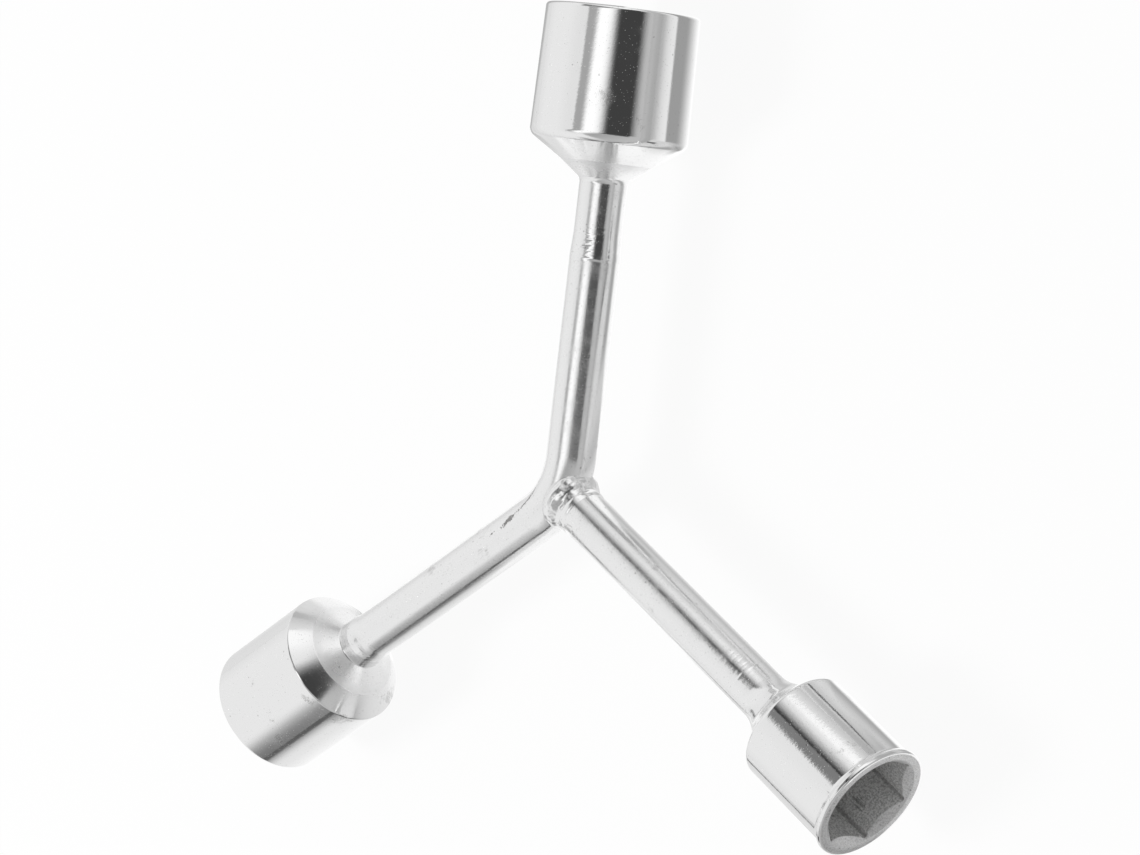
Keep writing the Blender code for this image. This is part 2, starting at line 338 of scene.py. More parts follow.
def makeStem():
    # The straight bar, from the middle of the bend to its weld
    spec = sockets["14"]
    angles = np.arange(bar["sides"]) * math.tau / bar["sides"]
    stations = np.linspace(0, spec["weldStart"] + bar["weldOverlap"], bar["runSteps"])
    rings = [ring(np.full(bar["sides"], bar["radius"]), station, angles) for station in stations]
    ends = [rings[0].mean(0)[None], rings[-1].mean(0)[None]]
    flow = np.concatenate(rings + ends) + (0, 0, bar["stemShift"])
    piece = skin("stemBar", rings, armPlace(spec["heading"]), flow=flow)
    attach(piece, "root")
    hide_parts("stem_rod")
    return piece


# An outline of radii and stations, lumps of a size and a rise, and where the bead turns smooth
hubBead = {
    "outline": [
        (0.0034, -0.0013),
        (0.0044, -0.0006),
        (0.0050, 0.0003),
        (0.0052, 0.0011),
        (0.00505, 0.0018),
        (0.0047, 0.0025),
        (0.0043, 0.0031),
        (0.00412, 0.0037),
        (0.00418, 0.0042),
        (0.00415, 0.0046),
        (0.00400, 0.0050),
        (0.00396, 0.0056),
    ],
    "blur": 0.05,
    "lumps": [(0.0026, 0.00016), (0.0011, 0.00009), (0.0005, 0.00003)],
    "smoothFrom": 0.0031,
    "smoothTo": 0.0046,
    "sides": 220,
    "rows": 130,
}


def makeHubBead():
    fadeLength = hubBead["smoothTo"] - hubBead["smoothFrom"]
    angles = np.arange(hubBead["sides"]) * math.tau / hubBead["sides"]
    rings = []
    for radius, station in smoothCurve(hubBead["outline"], hubBead["rows"], hubBead["blur"]):
        rings.append(ring(np.full(hubBead["sides"], radius), station, angles))
    for row in rings:
        fade = min(1, max(0, (hubBead["smoothTo"] - row[0][2]) / fadeLength))
        for point in row:
            reach = math.hypot(point[0], point[1])
            swell = sum(noise.noise(Vector(point) / size) * rise for size, rise in hubBead["lumps"])
            point[:2] *= 1 + swell * fade / reach
    piece = skin("hubBead", rings, armPlace(sockets["14"]["heading"]))
    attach(piece, "root")
    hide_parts("hub_weld")
    return piece


# The pitch and depth of the grooves, the heights of the crinkles and the fine crinkles, where one
# bright ring lies, and how far round the grooves go, in radians
collars = {
    "19": {
        "pitch": 0.0009,
        "rise": 0.000018,
        "crinkle": 0.000026,
        "fine": 0.000014,
        "ringAt": 0.0011,
        "facing": 9,
    },
    "17": {
        "pitch": 0.0012,
        "rise": 0.000010,
        "crinkle": 0.000018,
        "fine": 0.000007,
        "ringAt": 0.0026,
        "facing": 9,
    },
    "14": {
        "pitch": 0.0010,
        "rise": 0.000022,
        "crinkle": 0.000014,
        "fine": 0.000004,
        "ringAt": 0.0056,
        "facing": 0.24,
    },
}

# What the three butt welds share
collarSkin = {
    "sides": 144,
    "rows": 110,
    "overlap": 0.0006,
    "blendSlope": 1.6,
    "blendShift": 0.3,
    "lip": 0.000012,
    "lipSlope": 6,
    "raggedGrain": (0.0012, 0.0012, 0.0007),
    "fineGrain": (0.0009, 0.0009, 0.00026),
    "patchGrain": 0.0026,
    "patchContrast": 1.6,
    "driftGrain": 0.0018,
    "drift": 0.0004,
    "ringHeight": 0.00003,
    "ringWidth": 0.00022,
    "grooveSharpness": 5,
    "grooveCentre": -0.8,
}


def makeCollar(size):
    # The dressed butt weld between the bar's end and the socket's shank
    look = collars[size]
    spec = sockets[size]
    sides = collarSkin["sides"]
    angles = np.arange(sides) * math.tau / sides
    start = spec["weldStart"] - collarSkin["overlap"]
    end = spec["shankStart"] + collarSkin["overlap"]
    shank = spec["outline"][0][0]
    raggedGrain = np.array(collarSkin["raggedGrain"])
    fineGrain = np.array(collarSkin["fineGrain"])
    rings = []
    for station in np.linspace(start, end, collarSkin["rows"]):
        share = (station - start) / (end - start)
        blend = min(1, max(0, share * collarSkin["blendSlope"] - collarSkin["blendShift"]))
        base = bar["radius"] + (shank - bar["radius"]) * blend * blend * (3 - 2 * blend)
        fade = math.sin(math.pi * share) ** 2
        fromRing = (station - start - look["ringAt"]) / collarSkin["ringWidth"]
        bump = collarSkin["ringHeight"] * math.exp(-(fromRing ** 2))
        lip = collarSkin["lip"] * (min(1, fade * collarSkin["lipSlope"]) - 0.5)
        row = ring(np.full(sides, base), station, angles)
        for point in row:
            ragged = noise.noise(Vector(point / raggedGrain))
            fine = noise.noise(Vector(point / fineGrain))
            blotch = noise.noise(Vector(point) / collarSkin["patchGrain"])
            patch = min(1, max(0, 0.5 + collarSkin["patchContrast"] * blotch))
            drift = collarSkin["drift"] * noise.noise(Vector(point) / collarSkin["driftGrain"])
            turn = math.tau * (station - start + drift) / look["pitch"]
            side = math.atan2(point[1], point[0]) - collarSkin["grooveCentre"]
            reach = math.exp(-((side / look["facing"]) ** 2))
            groove = (0.5 - 0.5 * math.cos(turn)) ** collarSkin["grooveSharpness"] * reach
            crinkle = look["crinkle"] * ragged + look["fine"] * fine - look["rise"] * groove
            point[:2] *= 1 + (lip + fade * patch * crinkle + bump * patch) / base
        rings.append(row)
    piece = skin("weldCollar" + size, rings, armPlace(spec["heading"]))
    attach(piece, "root")
    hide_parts("socket_weld_" + size)
    return piece


class Wire:
    # One socket of a node tree; arithmetic on it adds Math nodes
    def __init__(self, board, socket):
        self.board = board
        self.socket = socket

    def other(self, output):
        return Wire(self.board, self.socket.node.outputs[output])

    def math(self, operation, *others):
        values = dict(enumerate((self,) + others))
        return self.board.add("ShaderNodeMath", {"operation": operation}, values)

    def hypot(self, other):
        return (self * self + other * other).math("SQRT")

    def __add__(self, other):
        return self.math("ADD", other)

    def __sub__(self, other):
        return self.math("SUBTRACT", other)

    def __mul__(self, other):
        return self.math("MULTIPLY", other)

    def __truediv__(self, other):
        return self.math("DIVIDE", other)

    def __rsub__(self, other):
        return self.board.add("ShaderNodeMath", {"operation": "SUBTRACT"}, {0: other, 1: self})

    __radd__ = __add__
    __rmul__ = __mul__


class Board:
    # A node tree that nodes are added to
    def __init__(self, owner):
        owner.use_nodes = True
        self.tree = owner.node_tree
        self.tree.nodes.clear()

    def add(self, kind, settings=None, sockets=None, output=0):
        node = self.tree.nodes.new(kind)
        for key, value in (settings or {}).items():
            setattr(node, key, value)
        for key, value in (sockets or {}).items():
            if isinstance(value, Wire):
                self.tree.links.new(value.socket, node.inputs[key])
            else:
                node.inputs[key].default_value = value
        return Wire(self, node.outputs[output] if len(node.outputs) else None)

    def ramp(self, wire, low, high, start=0, end=1):
        # A soft step from start to end between two places
        settings = {"interpolation_type": "SMOOTHSTEP"}
        values = {"Value": wire, "From Min": low, "From Max": high, "To Min": start, "To Max": end}
        return self.add("ShaderNodeMapRange", settings, values)

    def window(self, wire, lowStart, lowEnd, highStart=None, highEnd=None):
        # 1 between two soft edges, or past one where only one is given
        inside = self.ramp(wire, lowStart, lowEnd)
        if highStart is None:
            return inside
        return inside * (1 - self.ramp(wire, highStart, highEnd))

    def steps(self, wire, level, changes):
        # A level that changes by each amount between its two places
        for low, high, amount in changes:
            level = level + self.ramp(wire, low, high, 0, amount)
        return level

    def bearing(self, x, y, azimuth):
        # Degrees round from an azimuth, -180 to 180
        side = math.sin(math.radians(azimuth))
        front = math.cos(math.radians(azimuth))
        turn = (y * front - x * side).math("ARCTAN2", x * front + y * side)
        return turn * (180 / math.pi)

    def mix(self, share, first, second):
        return self.add("ShaderNodeMix", {"data_type": "RGBA"}, {0: share, 6: first, 7: second}, 2)

    def stretch(self, vector, scale):
        return self.add("ShaderNodeVectorMath", {"operation": "MULTIPLY"}, {0: vector, 1: scale})

    def cloud(self, vector, scale, detail=2, roughness=0.5):
        values = {"Vector": vector, "Scale": scale, "Detail": detail, "Roughness": roughness}
        return self.add("ShaderNodeTexNoise", {}, values)

    def specks(self, vector, scale, share, size, core=0.4, picking=0.02):
        # Scattered small spots: one in some cells of a cell pattern, soft from its core to its edge
        values = {"Vector": vector, "Scale": scale}
        spots = self.add("ShaderNodeTexVoronoi", {}, values, "Distance")
        pick = self.add("ShaderNodeSeparateColor", {}, {0: spots.other("Color")})
        picked = self.ramp(pick, 1 - share, 1 - share + picking)
        return (1 - self.ramp(spots, size * core, size)) * picked


def flakes(board, flow, look):
    # Where the plating has come away: (degrees round, station, degrees wide, reach, slant, amount)
    x = board.add("ShaderNodeSeparateXYZ", {}, {0: flow})
    around = x.other("Y").math("ARCTAN2", x) * (180 / math.pi)
    run = x.other("Z")
    crumbs = board.cloud(flow, look["flakeScale"], 4, 0.65)
    bare = 0
    for angle, station, wide, reach, slant, amount in look["flakes"]:
        along = run - station
        aside = (around - angle - along * slant) / wide
        near = 1 - aside.hypot(along / reach)
        torn = board.ramp(crumbs + near * amount, *look["flakeEdge"])
        bare = torn.math("MAXIMUM", bare)
    return bare


def cornerDarkening(board, place, look):
    # Darker along the six corners of the hexagon
    x = board.add("ShaderNodeSeparateXYZ", {}, {0: place})
    around = x.other("Y").math("ARCTAN2", x) * (3 / math.pi) + 0.5
    fromCorner = (around - around.math("FLOOR") - 0.5).math("ABSOLUTE")
    return 1 - board.ramp(fromCorner, *look["cornerWidth"])


def plating(name, look):
    material = bpy.data.materials.new(name)
    board = Board(material)
    flow = board.add("ShaderNodeAttribute", {"attribute_name": "flow"}, output="Vector")
    coarse = board.add("ShaderNodeAttribute", {"attribute_name": "coarse"}, output="Fac")
    values = {"Vector": flow, "Scale": look["wobbleScale"], "Detail": 2}
    wobble = board.add("ShaderNodeTexNoise", {}, values, "Color")
    values = {0: wobble, 1: (look["wobble"],) * 3, 2: flow}
    ragged = board.add("ShaderNodeVectorMath", {"operation": "MULTIPLY_ADD"}, values)
    drawn = board.stretch(flow, (1, 1, look["grainStretch"]))
    rings = board.stretch(flow, (look["turnStretch"], look["turnStretch"], 1))
    streaked = board.stretch(ragged, (1, 1, look["scratchStretch"]))
    peel = board.cloud(flow, look["peelScale"], 3, 0.6)
    grain = board.cloud(drawn, look["grainScale"], 3, 0.6)
    ripple = board.cloud(drawn, look["rippleScale"])
    turned = board.cloud(rings, look["turnScale"], 3, 0.6)
    patches = board.cloud(flow, look["patchScale"], 3, 0.6)
    smears = board.cloud(flow, look["smearScale"], 4)
    scuffed = board.ramp(patches, *look["scuffEdge"])
    pits = board.specks(ragged, look["pitScale"], look["pitShare"], look["pitSize"])
    specks = board.specks(ragged, look["speckScale"], look["speckShare"], look["speckSize"])
    scratch = board.specks(streaked, look["scratchScale"], look["scratchShare"], look["scratchSize"])
    scratch = scratch * board.ramp(patches, *look["scratchEdge"])
    dust = board.specks(ragged, look["dustScale"], look["dustShare"], look["dustSize"])
    height = (
        peel * look["peelHeight"]
        + grain * look["grainHeight"]
        + ripple * look["rippleHeight"]
        + turned * coarse * look["coneTurnHeight"]
        - pits * look["pitDepth"]
        - specks * look["speckDepth"]
        - scratch * look["scratchDepth"]
    )
    rough = (
        look["roughness"]
        + board.ramp(smears, *look["smearEdge"]) * look["roughSpread"]
        + coarse * look["coneRoughness"]
        + scuffed * grain * look["scuffRoughness"]
    )
    worn = board.ramp(grain * scuffed, *look["wornEdge"])
    shade = 1 - worn * look["scuffShade"] - pits * look["pitShade"] - specks * look["speckShade"]
    if look["grainShade"]:
        crumbs = board.cloud(flow, look["crumbScale"], 2, 0.7)
        shade = shade * (1 - board.ramp(crumbs, *look["crumbEdge"]) * look["grainShade"])
    if look["cornerShade"]:
        shade = shade * (1 - cornerDarkening(board, ragged, look) * coarse * look["cornerShade"])
    if look["flakes"]:
        bare = flakes(board, flow, look)
        height = height - bare * look["flakeDepth"]
        rough = rough + bare * look["flakeRoughness"]
        shade = shade * (1 - bare * look["flakeShade"])
    colour = board.mix(shade, (*look["dirt"], 1), (*look["colour"], 1))
    values = {"Height": height, "Distance": 1, "Strength": 1}
    shader = board.add("ShaderNodeBsdfPrincipled", {}, {
        "Base Color": board.mix(dust, colour, (*look["dust"], 1)),
        "Metallic": (1 - dust) * look["metallic"],
        "Roughness": rough,
        "Normal": board.add("ShaderNodeBump", {}, values, "Normal"),
    })
    board.add("ShaderNodeOutputMaterial", {}, {"Surface": shader})
    return material


# Heights and depths are in metres and scales are per metre. An edge says where a soft step starts
# and where it ends
chrome = {
    "colour": (0.81, 0.81, 0.81),
    "dirt": (0.12, 0.115, 0.11),
    "dust": (0.62, 0.62, 0.61),
    "dustScale": 5600,
    "dustShare": 0.07,
    "dustSize": 0.42,
    "metallic": 1.0,
    "roughness": 0.04,
    "roughSpread": 0.04,
    "smearScale": 420,
    "smearEdge": (0.4, 0.7),
    "coneRoughness": 0.20,
    "patchScale": 160,
    "scuffEdge": (0.56, 0.72),
    "scuffRoughness": 0.2,
    "scuffShade": 0.4,
    "wornEdge": (0.35, 0.62),
    "scratchScale": 1100,
    "scratchStretch": 0.12,
    "scratchShare": 0.05,
    "scratchSize": 0.16,
    "scratchEdge": (0.5, 0.6),
    "scratchDepth": 0.0000024,
    "wobble": 0.00025,
    "wobbleScale": 3500,
    "peelScale": 2200,
    "peelHeight": 0.0000036,
    "grainScale": 5200,
    "grainStretch": 0.5,
    "grainHeight": 0.0000006,
    "grainShade": 0,
    "crumbScale": 3680,
    "crumbEdge": (0.38, 0.62),
    "rippleScale": 700,
    "rippleHeight": 0.0000030,
    "turnScale": 9000,
    "turnStretch": 0.05,
    "coneTurnHeight": 0.0000025,
    "pitScale": 1300,
    "pitSize": 0.26,
    "pitShare": 0.03,
    "pitDepth": 0.000008,
    "pitShade": 0.35,
    "speckScale": 3200,
    "speckSize": 0.45,
    "speckShare": 0.03,
    "speckDepth": 0.0000032,
    "speckShade": 0.21,
    "cornerShade": 0,
    "cornerWidth": (0.015, 0.06),
    "flakes": None,
    "flakeScale": 2600,
    "flakeEdge": (0.74, 0.82),
    "flakeDepth": 0.000014,
    "flakeShade": 0.75,
    "flakeRoughness": 0.3,
}

drawnChrome = chrome | {
    "roughness": 0.13,
    "roughSpread": 0.08,
    "dustShare": 0.09,
    "peelScale": 2600,
    "peelHeight": 0.0000090,
    "grainScale": 6000,
    "grainStretch": 0.07,
    "grainHeight": 0.0000026,
    "rippleScale": 1500,
    "rippleHeight": 0.0000036,
    "pitShare": 0.07,
    "speckShare": 0.07,
}

socketChrome = plating("socketChrome", chrome)
raggedChrome = plating("raggedChrome", chrome | {
    "peelScale": 2100,
    "peelHeight": 0.0000075,
    "rippleHeight": 0.0000040,
})
barChrome = plating("barChrome", drawnChrome | {
    "flakes": [
        (27, 0.0415, 7, 0.0085, -2450, 0.42),
        (12, 0.0472, 11, 0.0038, -2450, 0.54),
        (9, 0.0512, 5, 0.0030, -1200, 0.34),
    ],
})
stemChrome = plating("stemChrome", drawnChrome)
weldChrome = plating("weldChrome", chrome | {
    "roughness": 0.11,
    "roughSpread": 0.1,
    "peelScale": 2400,
    "peelHeight": 0.0000080,
    "grainScale": 4500,
    "grainStretch": 0.8,
    "grainHeight": 0.0000030,
    "rippleScale": 1600,
    "rippleHeight": 0.0000060,
    "pitShare": 0.10,
    "speckShare": 0.10,
})
mouthSatin = plating("mouthSatin", chrome | {
    "colour": (0.72, 0.72, 0.72),
    "metallic": 0.55,
    "roughness": 0.42,
    "roughSpread": 0.1,
    "grainScale": 4600,
    "grainStretch": 1,
    "grainHeight": 0.0000180,
    "grainShade": 0.28,
    "pitShare": 0.15,
    "pitShade": 0.5,
    "speckShare": 0.4,
    "speckShade": 0.3,
    "dustShare": 0.2,
})
boreSteel = plating("boreSteel", chrome | {
    "colour": (0.86, 0.86, 0.855),
    "dirt": (0.16, 0.158, 0.155),
    "dust": (0.7, 0.7, 0.69),
    "metallic": 0.3,
    "roughness": 0.5,
    "roughSpread": 0.1,
    "coneRoughness": 0,
    "coneTurnHeight": 0,
    "grainScale": 4000,
    "grainStretch": 0.1,
    "grainHeight": 0.0000140,
    "grainShade": 0.5,
    "crumbScale": 3200,
    "peelScale": 3000,
    "peelHeight": 0.0000160,
    "pitShare": 0.25,
    "speckShare": 0.35,
    "scuffShade": 0.6,
    "cornerShade": 0.55,
})
print("finishes made")

for size in sockets:
    outside = raggedChrome if size == "14" else socketChrome
    socketMesh = makeSocket(size).data
    for material in (outside, mouthSatin, boreSteel, stemChrome):  # In the order of finishSlots
        socketMesh.materials.append(material)
makeBentBar().data.materials.append(barChrome)
makeStem().data.materials.append(stemChrome)
makeHubBead().data.materials.append(weldChrome)
for size in collars:
    makeCollar(size).data.materials.append(weldChrome)
print("pieces made")

# The paper. Its tones, apart from shownWhite, are painted light and shade that only lights and mirrors
# see. A window has two edges, and bearings are in degrees
paper = {
    "colour": 0.63,
    "half": 3.0,
    "shownWhite": 0.93,
    "mirroredNear": 0.12,
    "mirroredFar": 0.85,
    "mirroredEdge": (0.07, 0.2),
    "litCentre": (0.004, 0.012),
    "litHalf": (0.082, 0.062),
    "litEdge": (0.8, 1.1),
    "litBearings": (-62, -48, 95, 115),
    "farTone": 0.58,
    "backAzimuth": 130,
    "westTone": 0.15,
    "westBearings": (15, 60, 85, 100),
    "westEdge": (0.045, 0.08),
    "lateEdge": (0.08, 0.115),
    "lateBearings": (47, 55),
    "dimEdge": (0.07, 0.13),
    "dimming": 0.13,
    "dusks": [(0.050, 0.014, 0.018, 0.040, 0.03), (0.046, -0.026, 0.006, 0.022, 0.15)],
    "darkLineX": 0.0530,
    "darkLineEdge": (0.0035, 0.007),
    "darkLineSpan": (-0.036, -0.030, 0.001, 0.007),
    "darkLineDepth": 0.75,
    "paintedLightUnderTone": 1.15,
    "underWiden": (0.052, 0.058),
    "underWidth": {"19": (0.0060, 0.0112), "17": (0.0060, 0.0098), "14": (0.0050, 0.0090)},
    "underEdge": (0.85, 1.2),
    "underStart": (0, 0.004),
}

# Painted shadows and painted light on the paper beside the arms, which the arms mirror, each strip
# painted over the ones before: a window along the arm and one across it, on its left (1) or right
# (-1), and a tone that changes away from it
paintedShadeAndLightStrips = [
    {
        "arm": "19",
        "side": -1,
        "slant": 0,
        "along": (0.006, 0.012, 0.048, 0.054),
        "across": (0, 0.001, 0.021, 0.026),
        "tone": 1.15,
        "changes": [(0.005, 0.0105, -0.70), (0.013, 0.020, 0.35)],
    },
    {
        "arm": "19",
        "side": -1,
        "slant": 0,
        "along": (0.052, 0.058),
        "across": (0, 0.001, 0.06, 0.075),
        "tone": 1.13,
        "changes": [(0.007, 0.017, -0.73), (0.0245, 0.0275, 0.57), (0.026, 0.06, -0.42)],
    },
    {
        "arm": "17",
        "side": 1,
        "slant": 0.92,
        "along": (0.008, 0.016, 0.050, 0.058),
        "across": (0, 0.001, 0.07, 0.09),
        "tone": 0.97,
        "changes": [(0.005, 0.018, -0.10), (0.014, 0.046, -0.59)],
    },
    {
        "arm": "17",
        "side": -1,
        "slant": 0,
        "along": (0.018, 0.026, 0.064, 0.075),
        "across": (0.009, 0.016, 0.03, 0.045),
        "tone": 1.1,
        "changes": [],
    },
    {
        "arm": "17",
        "side": 1,
        "slant": 0.92,
        "along": (0.050, 0.058),
        "across": (0, 0.001, 0.11, 0.15),
        "tone": 1.04,
        "changes": [(0.012, 0.03, -0.09), (0.03, 0.085, -0.40), (0.07, 0.13, -0.25)],
    },
    {
        "arm": "14",
        "side": 1,
        "slant": 0,
        "along": (-0.006, -0.002, 0.046, 0.052),
        "across": (0, 0.001, 0.02, 0.028),
        "tone": 0.84,
        "changes": [(0.004, 0.010, -0.22), (0.011, 0.018, 0.12)],
    },
    {
        "arm": "14",
        "side": -1,
        "slant": 0,
        "along": (-0.010, -0.003, 0.022, 0.030),
        "across": (0.009, 0.014, 0.034, 0.042),
        "tone": 1.1,
        "changes": [],
    },
    {
        "arm": "14",
        "side": -1,
        "slant": 0,
        "along": (0.020, 0.030, 0.075, 0.085),
        "across": (0.018, 0.028, 0.075, 0.095),
        "tone": 0.84,
        "changes": [],
    },
    {
        "arm": "14",
        "side": 1,
        "slant": 0,
        "along": (0.050, 0.054),
        "across": (0, 0.001, 0.02, 0.03),
        "tone": 1.15,
        "changes": [(0.0085, 0.0125, -0.70), (0.011, 0.021, 0.26)],
    },
]


def paintedPaperLight(board, x, y):
    # Painted light and shade on the open paper: a painted lit middle and back, a dim west, two dusky
    # spots of painted shade and a thin dark line
    across = (x - paper["litCentre"][0]) / paper["litHalf"][0]
    along = (y - paper["litCentre"][1]) / paper["litHalf"][1]
    near = 1 - board.ramp(across.hypot(along), *paper["litEdge"])
    back = board.bearing(x, y, paper["backAzimuth"])
    lit = near.math("MAXIMUM", board.window(back, *paper["litBearings"]))
    tone = paper["farTone"] + lit * (1 - paper["farTone"])
    reach = x.hypot(y)
    late = (1 - board.ramp(reach, *paper["lateEdge"])) * board.ramp(back, *paper["lateBearings"])
    west = board.window(back, *paper["westBearings"])
    west = board.ramp(reach, *paper["westEdge"]) * (1 - late) * west
    tone = tone * (1 - west * (1 - paper["westTone"]))
    tone = tone * (1 - lit * board.ramp(reach, *paper["dimEdge"], 0, paper["dimming"]))
    for centreX, centreY, inner, outer, depth in paper["dusks"]:
        dusk = 1 - board.ramp((x - centreX).hypot(y - centreY), inner, outer)
        tone = tone * (1 - dusk * depth)
    # A thin dark line on the paper, which only lights and mirrors see
    fromDarkLine = (x - paper["darkLineX"]).math("ABSOLUTE")
    darkLine = 1 - board.ramp(fromDarkLine, *paper["darkLineEdge"])
    darkLine = darkLine * board.window(y, *paper["darkLineSpan"])
    return tone * (1 - darkLine * paper["darkLineDepth"])


def makeFloor():
    half = paper["half"]
    corners = [(-half, -half, 0), (half, -half, 0), (half, half, 0), (-half, half, 0)]
    mesh = bpy.data.meshes.new("paperFloor")
    mesh.from_pydata(corners, [], [(0, 1, 2, 3)])
    floor = bpy.data.objects.new("paperFloor", mesh)
    bpy.context.scene.collection.objects.link(floor)
    material = bpy.data.materials.new("paperWhite")
    board = Board(material)
    seen = board.add("ShaderNodeLightPath", {}, {}, "Is Camera Ray")
    mirrored = seen.other("Is Glossy Ray") + seen.other("Is Transmission Ray")
    place = board.add("ShaderNodeNewGeometry", {}, {}, "Position")
    x = board.add("ShaderNodeSeparateXYZ", {}, {0: place})
    y = x.other("Y")

    def fromArm(size):
        # How far along an arm a spot of the paper lies, and how far to its left
        side = math.sin(sockets[size]["heading"])
        front = math.cos(sockets[size]["heading"])
        fromX = x - hub.x
        fromY = y - hub.y
        return fromX * front + fromY * side, fromY * front - fromX * side

    # Painted light: a bright strip of paper under each arm, which only mirrored rays see
    paintedLightUnder = 0
    for size in sockets:
        run, aside = fromArm(size)
        width = board.ramp(run, *paper["underWiden"], *paper["underWidth"][size])
        strip = 1 - board.ramp(aside.math("ABSOLUTE") / width, *paper["underEdge"])
        strip = strip * board.ramp(run, *paper["underStart"])
        paintedLightUnder = strip.math("MAXIMUM", paintedLightUnder)
    # Painted shadows and painted light beside the arms, which only mirrored rays see
    covered = 0
    paintedStripTone = 0
    for strip in paintedShadeAndLightStrips:
        run, aside = fromArm(strip["arm"])
        across = aside * strip["side"]
        along = run - across * strip["slant"]
        mask = board.window(along, *strip["along"]) * board.window(across, *strip["across"])
        level = board.steps(across, strip["tone"], strip["changes"])
        paintedStripTone = paintedStripTone * (1 - mask) + mask * level
        covered = covered + mask * (1 - covered)
    paintedLightUnder = paintedLightUnder * mirrored
    covered = covered * mirrored
    # Camera rays see the paper evenly white; all other rays see its painted light and shade
    tone = 1 - (1 - paintedPaperLight(board, x, y)) * (1 - seen)
    tone = tone * (1 - paintedLightUnder) + paintedLightUnder * paper["paintedLightUnderTone"]
    tones = {"Color": tone * (1 - covered) + paintedStripTone * mirrored, "Strength": 1}
    glow = board.add("ShaderNodeEmission", {}, tones)
    sheet = board.add("ShaderNodeBsdfDiffuse", {}, {"Color": tone * paper["colour"]})
    levels = (paper["mirroredNear"], paper["mirroredFar"])
    flat = board.ramp(x.hypot(y), *paper["mirroredEdge"], *levels)
    share = seen * paper["shownWhite"] + mirrored * flat
    share = share.math("MAXIMUM", paintedLightUnder.math("MAXIMUM", covered))
    both = board.add("ShaderNodeMixShader", {}, {0: share, 1: sheet, 2: glow})
    board.add("ShaderNodeOutputMaterial", {}, {"Surface": both})
    mesh.materials.append(material)


# The room that the plating mirrors. Rises and bearings are in degrees, lines are drawn on a ceiling
# one unit up, and the numbers are edges, windows and changes as in the paper
studio = {
    "lowestAim": 0.05,
    "lowTone": 0.6,
    "lowChanges": [(-5, 60, -0.15)],
    "sideTone": 0.24,
    "sideChanges": [(0.46, 0.52, -0.2), (0.50, 0.85, 0.42), (0.70, 1.25, 0.47), (1.2, 1.9, 0.24)],
    "sideAzimuth": 20,
    "sideEdge": (-53, -29),
    "sideRises": (-10, 18, 62, 72),
    "dipSlope": 0.45,
    "dipLine": (0.37, 0.46),
    "dipFrom": (0.6, 0.8),
    "dip": 0.25,
    "backTone": 0.9,
    "backChanges": [(-5, 22, 0.08), (45, 74, -0.07)],
    "backAzimuth": 135,
    "backStart": (-52, -44),
    "backEnd": (72, 90),
    "slantSlope": 0.5,
    "slantLine": (0.48, 0.53),
    "slantStart": (-82, -70),
    "ridgeSlope": -0.61,
    "ridgeLine": (0.145, 0.175),
    "ridgeRises": (62, 72),
    "panelTone": 1.25,
    "panelSlope": -0.5,
    "panelLine": (-0.56, -0.16),
    "panelRidge": (-0.055, 0.055),
    "panelFrom": (-0.6, -0.35),
    "panelCut": (0.15, 0.6),
    "panelRises": (45, 58),
}

# Cards in the room: tone, azimuth, and windows of bearings from it and of rises
cards = [
    (0.5, -160, (-14, -4, 18, 40), (-30, -20, -2, 37)),
    (0.2, -160, (-14, -4, -2, 3), (-30, -20, -2, 37)),
    (0.06, -50, (-28, -14, 12, 40), (14, 20, 56, 66)),
    (0.13, -61, (-14, -10, 6, 10), (35.6, 36.2, 37.2, 37.8)),
    (0.06, -50, (-14.5, -12, 4, 16), (3, 20, 40, 50)),
]


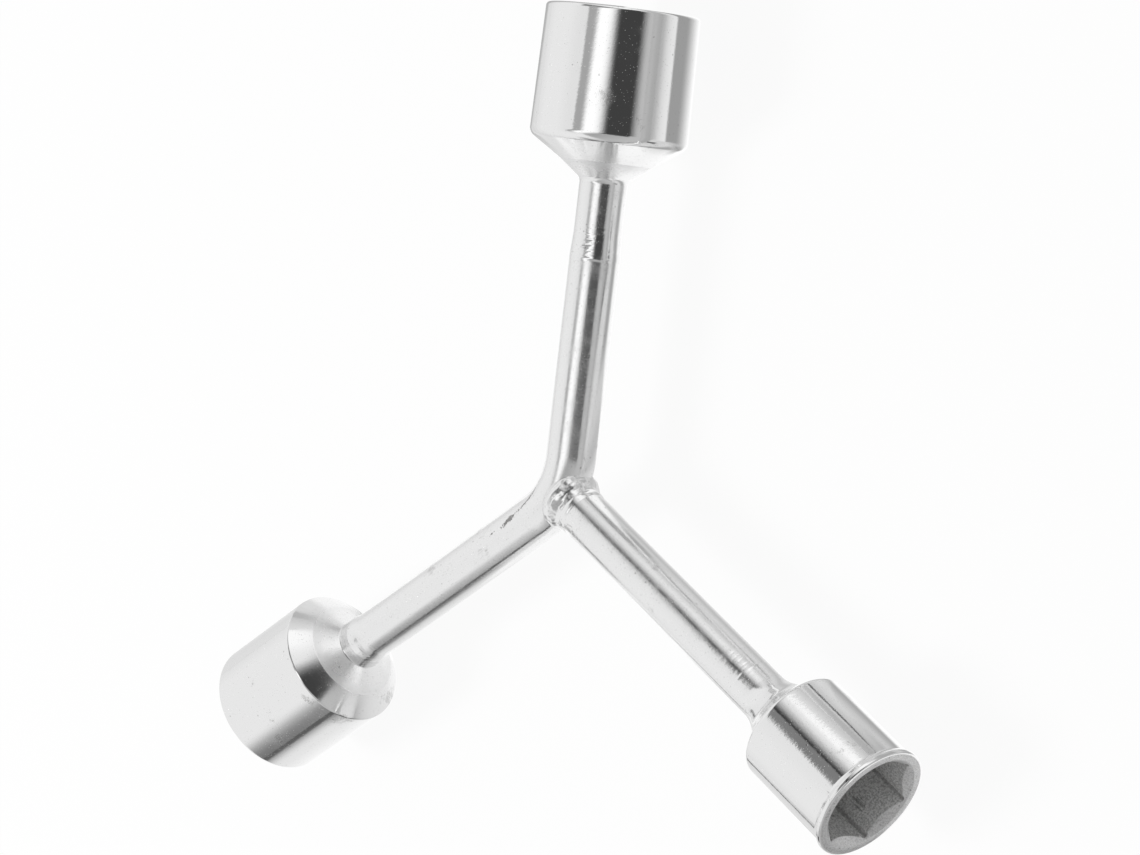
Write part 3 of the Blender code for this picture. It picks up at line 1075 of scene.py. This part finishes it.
def makeStudio():
    world = bpy.data.worlds.new("studio")
    bpy.context.scene.world = world
    board = Board(world)
    seen = board.add("ShaderNodeLightPath", {}, {}, "Is Camera Ray")
    aim = board.add("ShaderNodeTexCoord", {}, {}, "Generated")
    x = board.add("ShaderNodeSeparateXYZ", {}, {0: aim})
    y = x.other("Y")
    z = x.other("Z")
    rise = z.math("ARCSINE") * (180 / math.pi)
    overX = x / z.math("MAXIMUM", studio["lowestAim"])
    overY = y / z.math("MAXIMUM", studio["lowestAim"])

    def above(slope):
        # How far past a slanting line through the middle of the ceiling
        return overY - overX * slope

    behind = board.bearing(x, y, studio["backAzimuth"])
    backStart = board.ramp(behind, *studio["backStart"])
    tone = board.steps(rise, studio["lowTone"], studio["lowChanges"])

    # The dark side, which gets paler away from the middle
    fall = board.steps(overX, studio["sideTone"], studio["sideChanges"])
    dip = board.ramp(above(studio["dipSlope"]), *studio["dipLine"])
    dip = dip * board.ramp(overX, *studio["dipFrom"])
    fall = fall * (1 - dip * studio["dip"])
    zone = board.ramp(board.bearing(x, y, studio["sideAzimuth"]), *studio["sideEdge"]) * (1 - backStart)
    zone = zone * board.window(rise, *studio["sideRises"])
    tone = tone * (1 - zone) + zone * fall

    # The white backdrop, up to the ridge over the wrench
    backdrop = board.steps(rise, studio["backTone"], studio["backChanges"])
    slanted = board.ramp(above(studio["slantSlope"]), *studio["slantLine"])
    slanted = slanted * board.ramp(behind, *studio["slantStart"])
    ridge = above(studio["ridgeSlope"])
    belowRidge = 1 - board.ramp(rise, *studio["ridgeRises"])
    shown = backStart.math("MAXIMUM", slanted) * (1 - board.ramp(behind, *studio["backEnd"]))
    shown = shown * board.ramp(ridge, *studio["ridgeLine"]).math("MAXIMUM", belowRidge)
    tone = tone * (1 - shown) + shown * backdrop

    for level, azimuth, bearings, rises in cards:
        mask = board.window(board.bearing(x, y, azimuth), *bearings) * board.window(rise, *rises)
        tone = tone * (1 - mask) + mask * level

    # The bright panel overhead
    panel = (
        board.ramp(above(studio["panelSlope"]), *studio["panelLine"])
        * (1 - board.ramp(ridge, *studio["panelRidge"]))
        * board.ramp(overX, *studio["panelFrom"])
        * (1 - board.ramp(above(1), *studio["panelCut"]))
        * board.ramp(rise, *studio["panelRises"])
    )
    tone = tone * (1 - panel) + panel * studio["panelTone"]
    tone = tone * (1 - seen) + seen
    sky = board.add("ShaderNodeBackground", {}, {"Color": tone, "Strength": 1})
    board.add("ShaderNodeOutputWorld", {}, {"Surface": sky})


softLamp = {
    "azimuth": math.radians(144),
    "elevation": math.radians(46),
    "distance": 1.4,
    "size": 0.42,
    "power": 17.0,
}


def makeLamp():
    light = bpy.data.lights.new("softLamp", "AREA")
    light.shape = "SQUARE"
    light.size = softLamp["size"]
    light.energy = softLamp["power"]
    lamp = bpy.data.objects.new("softLamp", light)
    flat = math.cos(softLamp["elevation"])
    aim = Vector((
        math.cos(softLamp["azimuth"]) * flat,
        math.sin(softLamp["azimuth"]) * flat,
        math.sin(softLamp["elevation"]),
    ))
    lamp.location = aim * softLamp["distance"]
    lamp.rotation_euler = aim.to_track_quat("Z", "Y").to_euler()
    lamp.visible_glossy = False
    bpy.context.scene.collection.objects.link(lamp)


# Camera angle, taken from the photograph's own perspective. Pixels count from its top left corner
photoView = {
    "width": 1140,
    "height": 855,
    "focal": 3375,
    "sensor": 36,
    "clipStart": 0.01,
    "azimuth": math.radians(33.3234),
    "elevation": math.radians(45.7896),
    "roll": math.radians(-87.859),
    "distance": 0.53928,
    "hubPixel": (566.62, 496.77),
}


def makeCamera():
    lens = bpy.data.cameras.new("photoCamera")
    lens.sensor_width = photoView["sensor"]
    lens.lens = photoView["focal"] / photoView["width"] * photoView["sensor"]
    lens.clip_start = photoView["clipStart"]
    azimuth, elevation = photoView["azimuth"], photoView["elevation"]
    back = Vector((
        math.sin(azimuth) * math.cos(elevation),
        -math.cos(azimuth) * math.cos(elevation),
        math.sin(elevation),
    ))
    turn = back.to_track_quat("Z", "Y").to_matrix() @ Matrix.Rotation(photoView["roll"], 3, "Z")
    scale = photoView["distance"] / photoView["focal"]
    aside = (photoView["hubPixel"][0] - photoView["width"] / 2) * scale
    above = (photoView["height"] / 2 - photoView["hubPixel"][1]) * scale
    camera = bpy.data.objects.new("photoCamera", lens)
    place = hub - turn @ Vector((aside, above, -photoView["distance"]))
    camera.matrix_world = Matrix.Translation(place) @ turn.to_4x4()
    bpy.context.scene.collection.objects.link(camera)
    bpy.context.scene.camera = camera


makeFloor()
makeStudio()
makeLamp()
makeCamera()
bpy.context.scene.view_settings.view_transform = "Standard"
print("stage made")
